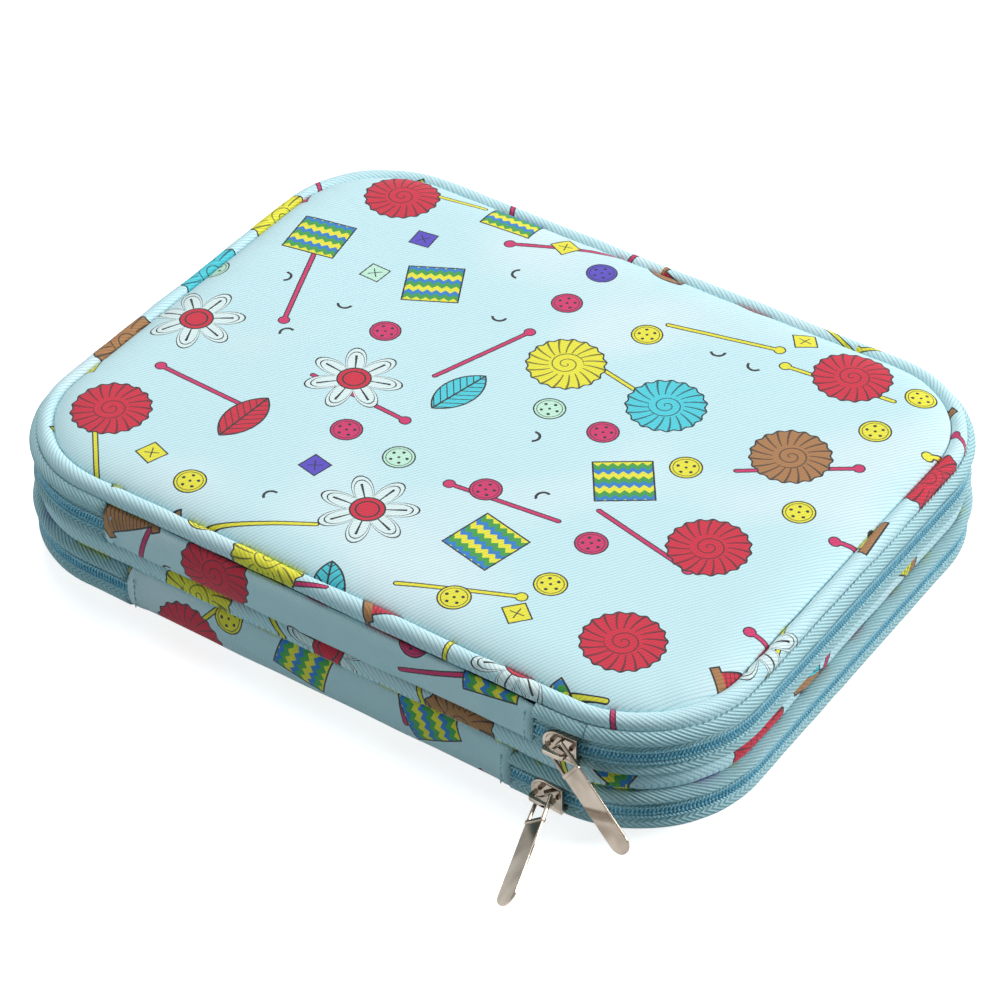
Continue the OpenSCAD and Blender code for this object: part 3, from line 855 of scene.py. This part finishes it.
class NEEDLECASE_OT_pipings(bpy.types.Operator):
    """Makes the piping rolls round the base, the middle leaf and the lid"""

    bl_idname = "needle_case.pipings"
    bl_label = "Pipings"

    def execute(self, context):
        for seed, node in enumerate(("base_piping", "middle_piping", "lid_piping")):
            out, z, radius = roll(node)
            tall = radius
            if node == "base_piping":
                # The cloth under the base draws its piping in and up
                out -= 2.6 * MM
                z += 0.9 * MM
            elif node == "middle_piping":
                # The fullest roll, which hangs over the ridge below it
                z -= 0.6 * MM
                tall += 0.5 * MM
            turns = [2 * math.pi * i / 16 for i in range(16)]
            profile = [(out + radius * math.cos(a), z + tall * math.sin(a)) for a in turns]
            bm = sweep(profile)
            unroll(bm, seed)
            ruffle(bm, 0.22 * MM, 9 * MM, seed)
            ruffle(bm, 0.35 * MM, 40 * MM, seed + 5)
            new_piece(bm, node + "_roll", [node], ["trim"])
        return {"FINISHED"}


# Ridge of each half zip, as (reach from the zip's line, height from the line where its coils
# meet) in mm, from the web beside the coil outwards, round and in beside the next roll.
WEB = [(-1.8, 0.1), (-0.5, 0.1), (0.1, 1.3), (0.1, 2.7), (-0.9, 3.1)]
RIDGE_UNDER_LID = [(-1.0, 3.9), (0.2, 4.25), (1.1, 4.5), (1.6, 5.1), (1.75, 5.9), (1.5, 6.8),
                   (0.9, 7.6), (0.2, 8.2), (-0.5, 8.5), (-1.4, 7.5), (-1.8, 6.4)]
RIDGE_ON_MIDDLE = [(-0.5, 3.2), (0.4, 3.6), (1.1, 4.2), (1.45, 4.9), (1.2, 5.5), (0.3, 5.9),
                   (-0.8, 6.0), (-2.6, 6.9)]
LOWER_WEB = [(-1.8, 0.1), (-0.5, 0.1), (0.1, 1.1), (0.1, 2.3), (-0.9, 2.6)]
RIDGE_UNDER_MIDDLE = [(-1.0, 3.0), (0.2, 3.2), (1.1, 3.5), (1.6, 4.1), (1.7, 4.8), (1.3, 5.4),
                      (0.5, 5.8), (-0.6, 6.0), (-2.2, 6.3)]
RIDGE_ON_BASE = [(-0.6, 2.9), (0.1, 3.6), (0.7, 4.4), (0.9, 5.2), (0.5, 6.1), (-0.6, 7.0),
                 (-2.2, 7.9), (-4.0, 8.4), (-4.0, 7.6), (-1.8, 6.4)]


# How far round the first corner each zip's short end goes, and the gap after it
UPPER_SPLIT = math.radians(10.5)
LOWER_SPLIT = math.radians(5.5)
SPLIT_GAP = math.radians(0.5)


def zip_halves():
    """Each half zip: its name, line, height, side of the line, ridge, and start and end."""
    upper_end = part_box("upper_spine_band")[1][0] + 0.3 * MM
    lower_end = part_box("lower_spine_band")[1][0] + 0.3 * MM
    upper_turn = CORNER_X + CORNER_RADIUS * UPPER_SPLIT
    lower_turn = CORNER_X + CORNER_RADIUS * LOWER_SPLIT
    gap = CORNER_RADIUS * SPLIT_GAP
    upper_stop = PERIMETER - upper_end
    lower_stop = PERIMETER - lower_end
    upper, lower = (UPPER_LINE, UPPER_ZIP_Z), (LOWER_LINE, LOWER_ZIP_Z)
    return [
        ("lower_zip_base", *lower, -1, LOWER_WEB + RIDGE_ON_BASE, lower_end, lower_stop),
        ("lower_zip_end", *lower, 1, LOWER_WEB + RIDGE_UNDER_MIDDLE, lower_end, lower_turn),
        ("lower_zip_middle", *lower, 1, LOWER_WEB + RIDGE_UNDER_MIDDLE, lower_turn + gap,
         lower_stop),
        ("upper_zip_middle", *upper, -1, WEB + RIDGE_ON_MIDDLE, upper_end, upper_stop),
        ("upper_zip_end", *upper, 1, WEB + RIDGE_UNDER_LID, upper_end, upper_turn),
        ("upper_zip_lid", *upper, 1, WEB + RIDGE_UNDER_LID, upper_turn + gap, upper_stop),
    ]


class NEEDLECASE_OT_zip_tapes(bpy.types.Operator):
    """Makes the woven tapes of both zips, with the padded ridge beside each chain"""

    bl_idname = "needle_case.zip_tapes"
    bl_label = "Zip tapes"

    def execute(self, context):
        for seed, (name, line, z, side, ridge, start, end) in enumerate(zip_halves()):
            profile = [(line + out * MM, z + side * up * MM) for out, up in ridge]
            bm = sweep(profile, start, end)
            unroll(bm)
            # The ribs lean the same way above and below the chain
            uv = bm.loops.layers.uv.active
            for face in bm.faces:
                for loop in face.loops:
                    loop[uv].uv.x *= side
            ruffle(bm, 0.12 * MM, 8 * MM, seed)
            new_piece(bm, name + "_tape_cloth", [name + "_tape"], ["tape"])
        return {"FINISHED"}


# How far the coils' turns and the stitches lean from upright
TURN_LEAN = math.radians(14)
STITCH_LEAN = math.radians(-34)


class NEEDLECASE_OT_zip_chains(bpy.types.Operator):
    """Makes the coils of both zips, turn by turn, and the stitches that hold them"""

    bl_idname = "needle_case.zip_chains"
    bl_label = "Zip chains"

    def execute(self, context):
        turn = bead(0.8 * MM, 0.7 * MM, 0.42 * MM)
        turn.transform(Matrix.Rotation(math.pi / 2, 4, "Y"))
        stitch = bead(0.78 * MM, 0.45 * MM, 0.34 * MM, 1)
        pitch = sizes().coil_pitch
        stitch_pitch = sizes().stitch_pitch
        for name, line, z, side, ridge, start, end in zip_halves():
            bm = bmesh.new()
            phase = pitch / 2 if side > 0 else 0.0
            for i in range(int((end - start - phase) / pitch)):
                here = place_on_outline(start + phase + (i + 0.5) * pitch)
                lean = Matrix.Rotation(TURN_LEAN * side, 4, "Y")
                at = Matrix.Translation((0, line + 0.05 * MM, z + side * 0.66 * MM))
                stamp(bm, turn, here @ at @ lean)
            # A row of slanted stitches holds the coil's outer edge, like a fine cord
            row = z + side * 0.75 * ridge[3][1] * MM
            lean = Matrix.Rotation(STITCH_LEAN * side, 4, "Y")
            for i in range(int((end - start) / stitch_pitch)):
                here = place_on_outline(start + (i + 0.5) * stitch_pitch)
                at = Matrix.Translation((0, line + 0.5 * MM, row))
                stamp(bm, stitch, here @ at @ lean)
            bmesh.ops.recalc_face_normals(bm, faces=bm.faces)
            new_piece(bm, name + "_chain", [name + "_coil"], ["coil", "thread"])
        bpy.data.meshes.remove(turn)
        bpy.data.meshes.remove(stitch)
        return {"FINISHED"}


# The spine bands, as (reach from the zip's line, height from that line) in mm: the upper one
# bulges between the lid and the middle, and the lower one sags and curls in under the base
UPPER_BAND = [(-0.5, -6.3), (0.3, -5.4), (0.9, -3.4), (1.2, -0.5), (1.1, 2.4), (0.6, 5.0),
              (-0.2, 6.6), (-1.1, 7.2), (-1.7, 6.8), (-1.7, 3.0), (-1.7, -3.0), (-1.5, -6.4)]
LOWER_BAND = [(-2.4, -7.6), (-1.2, -7.0), (-0.2, -5.6), (0.4, -3.4), (0.7, -0.5), (0.6, 2.4),
              (0.1, 5.0), (-0.5, 6.6), (-1.2, 7.2), (-1.8, 6.8), (-1.8, 3.0), (-1.8, -3.0),
              (-2.2, -6.4), (-3.0, -7.2)]
# Length of a band's folded end, and where its topstitch is and how far apart its stitches are
FOLD = 3.2 * MM
TOPSTITCH_IN = 2.4 * MM
TOPSTITCH_PITCH = 2.3 * MM


class NEEDLECASE_OT_spine_bands(bpy.types.Operator):
    """Makes the two printed bands that close the spine side and hinge its leaves"""

    bl_idname = "needle_case.spine_bands"
    bl_label = "Spine bands"

    def execute(self, context):
        stitch = bead(1.0 * MM, 0.25 * MM, 0.25 * MM)
        for seed, (name, line, z, leaves, shape) in enumerate((
                ("lower", LOWER_LINE, LOWER_ZIP_Z, ("base", "middle"), LOWER_BAND),
                ("upper", UPPER_LINE, UPPER_ZIP_Z, ("middle", "lid"), UPPER_BAND))):
            node = name + "_spine_band"
            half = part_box(node)[1][0]
            profile = [(line + out * MM, z + up * MM) for out, up in shape]
            bm = sweep(profile, -half, half)
            unroll(bm, seed + 3)
            ruffle(bm, 0.25 * MM, 14 * MM, seed + 9)
            ruffle(bm, 0.5 * MM, 45 * MM, seed + 12)
            # The folded end stands a little proud of the band
            for vert in bm.verts:
                if abs(vert.co.x) > half - FOLD:
                    vert.co.y -= 0.35 * MM
            piece = new_piece(bm, node + "_cloth", [node], ["band"], bends=True)
            y = -CORNER_Y - line
            start = (0, y, z + 5.4 * MM)
            end = (0, y, z + 7.3 * MM)
            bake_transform(piece, *leaves, start=start, end=end)
            # Topstitch beside each folded end
            bm = bmesh.new()
            for side in (-1, 1):
                for i in range(-2, 3):
                    up = z + i * TOPSTITCH_PITCH
                    at = Matrix.Translation((side * (half - TOPSTITCH_IN), y - 1.15 * MM, up))
                    stamp(bm, stitch, at @ Matrix.Rotation(math.pi / 2, 4, "Y"))
            new_piece(bm, node + "_topstitch", [], ["thread"], body=leaves[0])
        bpy.data.meshes.remove(stitch)
        return {"FINISHED"}


# The smallest angle at which a metal edge counts as sharp
SHARP = math.radians(35)


def bevel(bm, edges, radius, segments, clamp=True):
    """Rounds some edges of a metal piece."""
    bmesh.ops.bevel(bm, geom=edges, offset=radius, offset_type="OFFSET", segments=segments,
                    profile=0.5, affect="EDGES", material=-1, clamp_overlap=clamp)


def ease(bm, radius, segments=3):
    """Rounds a metal piece's sharp edges."""
    bmesh.ops.recalc_face_normals(bm, faces=bm.faces)
    bevel(bm, [e for e in bm.edges if len(e.link_faces) == 2
               and e.calc_face_angle(0) > SHARP], radius, segments)


def block(bm, low, high):
    """Adds a block to a bmesh from one corner to the other."""
    made = bmesh.ops.create_cube(bm, size=1.0)["verts"]
    bmesh.ops.scale(bm, verts=made, vec=[high[i] - low[i] for i in range(3)])
    bmesh.ops.translate(bm, verts=made, vec=[(high[i] + low[i]) / 2 for i in range(3)])


# Along a pull from its hinge line, where its plate starts; the width and the thickness of its
# eye's rim, and how much the eye narrows towards the crown on each side
PLATE_START = 7.7 * MM
EYE_RIM = 1.1 * MM
EYE_THICK = 1.1 * MM
EYE_TAPER = 0.35 * MM


def axes_at(place, *axes):
    """The matrix that puts the x, y and z directions along three axes at a place."""
    return Matrix.Translation(place) @ Matrix(axes).transposed().to_4x4()


def pull_frame(node, joint):
    """A pull's own directions at its hinge: along it, across it, and out of its face; and the
    extents of its solid along them."""
    hinge = Vector(JOINTS[joint]["pos_m"])
    across = Vector(JOINTS[joint]["axis"]).normalized()
    points = [v.co - hinge for v in frame["nodes"][node].data.vertices]
    along = sum(points, Vector()) / len(points)
    along = (along - across * along.dot(across)).normalized()
    face = along.cross(across)
    if face.y > 0:
        across, face = -across, -face
    spans = [[point.dot(axis) for point in points] for axis in (along, across, face)]
    return axes_at(hinge, along, across, face), [(min(span), max(span)) for span in spans]


def pull_metal(bm, spans):
    """A cast pull: an open eye that tapers to the crown, a raised step, and a flat plate with a
    round end."""
    (start, end), (left, right), (under, over) = spans
    half = (right - left) / 2
    middle = (right + left) / 2
    block(bm, (PLATE_START, left, under + 0.4 * MM), (end, right, over - 0.4 * MM))
    corners = [e for e in bm.edges if all(v.co.x > end - WELD for v in e.verts)
               and abs(e.verts[0].co.z - e.verts[1].co.z) > WELD]
    bevel(bm, corners, half * 0.97, 10, clamp=False)
    ease(bm, 0.25 * MM, 4)
    step = bmesh.new()
    block(step, (PLATE_START - 0.9 * MM, left - 0.05 * MM, under),
          (PLATE_START + 0.3 * MM, right + 0.05 * MM, over))
    ease(step, 0.3 * MM)
    eye = grid(1, 1, (start, left), (PLATE_START, right))
    rim = bmesh.ops.inset_region(eye, faces=list(eye.faces), thickness=EYE_RIM, depth=0,
                                 use_boundary=True)
    inner = [f for f in eye.faces if f not in rim["faces"]]
    bmesh.ops.delete(eye, geom=inner, context="FACES_ONLY")
    for vert in eye.verts:
        if vert.co.x < start + 2 * EYE_RIM:
            vert.co.y += math.copysign(EYE_TAPER, middle - vert.co.y)
    bmesh.ops.solidify(eye, geom=list(eye.faces), thickness=EYE_THICK)
    bmesh.ops.translate(eye, verts=eye.verts, vec=(0, 0, EYE_THICK / 2))
    tall = [e for e in eye.edges if abs(e.verts[0].co.z - e.verts[1].co.z) > 0.5 * MM]
    bevel(eye, tall, 0.6 * MM, 4)
    ease(eye, 0.3 * MM)
    for part in (step, eye):
        mesh = to_mesh(part, "part")
        bm.from_mesh(mesh)
        bpy.data.meshes.remove(mesh)


def metal_piece(bm, node):
    """Makes a metal piece whose flat faces shade evenly up to their rounded edges."""
    piece = new_piece(bm, node + "_metal", [node], ["metal"])
    piece.modifiers.new("Even shading", "WEIGHTED_NORMAL")


class NEEDLECASE_OT_sliders(bpy.types.Operator):
    """Makes the metal sliders, their crowns and their pulls, with eased edges"""

    bl_idname = "needle_case.sliders"
    bl_label = "Sliders and pulls"

    def execute(self, context):
        for node in ("lower_slider_body", "lower_slider_crown",
                     "upper_slider_body", "upper_slider_crown"):
            bm = bmesh.new()
            bm.from_mesh(frame["nodes"][node].data)
            bmesh.ops.remove_doubles(bm, verts=bm.verts, dist=WELD)
            bmesh.ops.dissolve_limit(bm, angle_limit=math.radians(1), verts=bm.verts,
                                     edges=bm.edges)
            if node.endswith("slider_body"):
                # The slider's face is dished inside a raised rim
                faces = [f for f in bm.faces if f.normal.y < -0.9]
                face = max(faces, key=lambda f: f.calc_area())
                bmesh.ops.inset_region(bm, faces=[face], thickness=0.7 * MM, depth=0)
                bmesh.ops.inset_region(bm, faces=[face], thickness=0.25 * MM, depth=-0.35 * MM)
            ease(bm, 0.16 * MM)
            metal_piece(bm, node)
        for node in ("lower_pull", "upper_pull"):
            place, spans = pull_frame(node, node + "_swing")
            bm = bmesh.new()
            pull_metal(bm, spans)
            bmesh.ops.transform(bm, matrix=place, verts=bm.verts)
            metal_piece(bm, node)
        return {"FINISHED"}


class NEEDLECASE_OT_linings(bpy.types.Operator):
    """Makes the plain lining cloths inside each leaf"""

    bl_idname = "needle_case.linings"
    bl_label = "Linings"

    def execute(self, context):
        for node, up in (("base_lining", 1), ("middle_lining_bottom", -1),
                         ("middle_lining_top", 1), ("lid_lining", -1)):
            low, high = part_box(node)
            face, back = (high[2], low[2]) if up > 0 else (low[2], high[2])
            edge = high[0] - CORNER_X
            bm = cloth_panel(edge, back, face, 5 * MM, 0.1 * MM, 30 * MM)
            thicken(new_piece(bm, node + "_cloth", [node], ["lining"]), 0.3 * MM, -1)
        return {"FINISHED"}


# How high an elastic's seams and the tops of its loops stand, and how deep the pocket's open
# edge sags
SEAM_HEIGHT = 0.45 * MM
LOOP_HEIGHT = 1.3 * MM
POCKET_SAG = 0.5 * MM


class NEEDLECASE_OT_holders(bpy.types.Operator):
    """Makes the looped elastic bands and the slip pocket"""

    bl_idname = "needle_case.holders"
    bl_label = "Elastics and pocket"

    def execute(self, context):
        for node in ("base_elastic_left", "base_elastic_right",
                     "middle_elastic_left", "middle_elastic_right"):
            low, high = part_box(node)
            length = high[1] - low[1]
            loops = max(1, round(length / sizes().loop_width))
            bm = grid(10, 12 * loops, low, high, low[2])
            for vert in bm.verts:
                rise = abs(math.sin(math.pi * loops * (vert.co.y - low[1]) / length)) ** 0.6
                vert.co.z += SEAM_HEIGHT + LOOP_HEIGHT * rise
            bmesh.ops.recalc_face_normals(bm, faces=bm.faces)
            piece = new_piece(bm, node + "_knit", [node], ["elastic"])
            thicken(piece, 0.8 * MM, 0, "Elastic thickness")
        low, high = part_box("lid_pocket")
        bm = grid(60, 36, low, high)
        for vert in bm.verts:
            open_edge = max(0.0, 1 - (vert.co.y - low[1]) / (9 * MM))
            sag = noise.noise(Vector((vert.co.x / (30 * MM), vert.co.y / (25 * MM), 3.1)))
            hem = 0.5 * MM if open_edge > 0.2 else 0.0
            middle = (low[2] + high[2]) / 2
            vert.co.z = middle - sag * 0.25 * MM - hem - open_edge * POCKET_SAG
        bmesh.ops.recalc_face_normals(bm, faces=bm.faces)
        thicken(new_piece(bm, "lid_pocket_cloth", ["lid_pocket"], ["lining"]), 0.6 * MM, 0)
        return {"FINISHED"}


class NEEDLECASE_OT_cores(bpy.types.Operator):
    """Gives the foam and board sheets inside the leaves their materials"""

    bl_idname = "needle_case.cores"
    bl_label = "Foam and boards"

    def execute(self, context):
        for node, slot in SLOTS.items():
            if slot in ("foam", "board"):
                mesh = frame["nodes"][node].data
                mesh.materials.clear()
                mesh.materials.append(material(slot))
        return {"FINISHED"}


# The floor's side in metres
FLOOR_SIDE = 8.0
# The camera's lens and sensor in mm, its place in metres, and its own right and up directions
CAMERA_LENS = (123.56, 36)
CAMERA_AT = (0.4380, -0.6320, 0.6608)
CAMERA_RIGHT = Vector((0.82436, 0.56603, -0.00608))
CAMERA_UP = Vector((-0.36123, 0.53429, 0.76423))


def soft_lamp(name, at, width, power):
    """A square soft lamp that faces the case."""
    data = bpy.data.lights.new(name, "AREA")
    data.size = width
    data.energy = power
    lamp = new_object(name, data)
    lamp.location = at
    lamp.rotation_euler = Vector(at).to_track_quat("Z", "Y").to_euler()


class NEEDLECASE_OT_stage(bpy.types.Operator):
    """Makes the floor, the lamps, the world and the camera"""

    bl_idname = "needle_case.stage"
    bl_label = "Stage"

    def execute(self, context):
        half = FLOOR_SIDE / 2
        floor = new_object("floor", to_mesh(grid(1, 1, (-half, -half), (half, half)), "floor"))
        paint, t = new_material("Floor, white paint")
        grain = add(t, "TexNoise", add(t, "TexCoord", out=OBJECT), Scale=40.0)
        tone = blend(t, grain, 0.4, 0.6, linear("#FBFBFB"), linear("#FDFDFD"))
        # White to the camera and in mirrors; darker to the light that it throws back on the case
        seen = seen_rays(t)
        seen_tone = add(t, "MixRGB", seen, linear("#88A3AA"), tone)
        glow = add(t, "MULTIPLY", seen, 0.76)
        finish_surface(paint, seen_tone, grain, 0.02 * MM, 0.1, Roughness=0.9,
                       Emission_Color=linear("#FFFFFF"), Emission_Strength=glow)
        floor.data.materials.append(paint)

        world = bpy.data.worlds.new("Studio")
        context.scene.world = world
        world.use_nodes = True
        t = world.node_tree
        sky = t.nodes["Background"]
        seen = seen_rays(t)
        join(t, add(t, "MAXIMUM", seen, 0.12), sky.inputs["Strength"])
        sky_tone = add(t, "MixRGB", seen, linear("#B4E2EF"), linear("#FFFFFF"))
        join(t, sky_tone, sky.inputs["Color"])

        soft_lamp("Key lamp", (1.85, 1.3, 1.1), 1.0, 48)
        soft_lamp("Fill lamp", (-1.3, -1.9, 0.9), 1.2, 10)
        soft_lamp("Top lamp", (-0.3, 0.6, 1.8), 1.2, 25)

        data = bpy.data.cameras.new("Camera")
        data.lens, data.sensor_width = CAMERA_LENS
        data.clip_end = 20
        camera = new_object("Camera", data)
        back = CAMERA_RIGHT.cross(CAMERA_UP)
        camera.matrix_world = axes_at(CAMERA_AT, CAMERA_RIGHT, CAMERA_UP, back)
        context.scene.camera = camera
        context.scene.view_settings.view_transform = "Standard"
        return {"FINISHED"}


OPERATORS = (
    NEEDLECASE_OT_covers, NEEDLECASE_OT_pipings, NEEDLECASE_OT_zip_tapes,
    NEEDLECASE_OT_zip_chains, NEEDLECASE_OT_spine_bands, NEEDLECASE_OT_sliders,
    NEEDLECASE_OT_linings, NEEDLECASE_OT_holders, NEEDLECASE_OT_cores, NEEDLECASE_OT_stage,
)


class NEEDLECASE_PT_panel(bpy.types.Panel):
    """The case's pieces, sizes and colours"""

    bl_idname = "NEEDLECASE_PT_panel"
    bl_label = "Needle Case"
    bl_space_type = "VIEW_3D"
    bl_region_type = "UI"
    bl_category = "Needle Case"

    def draw(self, context):
        for operator in OPERATORS:
            self.layout.operator(operator.bl_idname)
        for group in (context.scene.needle_case_sizes, context.scene.needle_case_colours):
            for name in group.bl_rna.properties.keys():
                if name not in ("rna_type", "name"):
                    self.layout.prop(group, name)


CLASSES = (NeedleCaseSizes, NeedleCaseColours, *OPERATORS, NEEDLECASE_PT_panel)


def register():
    """Registers the classes and adds the sizes and colours to the scene."""
    for one in CLASSES:
        bpy.utils.register_class(one)
    bpy.types.Scene.needle_case_sizes = bpy.props.PointerProperty(type=NeedleCaseSizes)
    bpy.types.Scene.needle_case_colours = bpy.props.PointerProperty(type=NeedleCaseColours)


def unregister():
    """Removes the sizes and colours from the scene and unregisters the classes."""
    del bpy.types.Scene.needle_case_sizes
    del bpy.types.Scene.needle_case_colours
    for one in reversed(CLASSES):
        bpy.utils.unregister_class(one)


def main():
    """Makes every piece and the stage."""
    register()
    for operator in OPERATORS:
        group, name = operator.bl_idname.split(".")
        getattr(getattr(bpy.ops, group), name)()


if __name__ == "__main__":
    main()
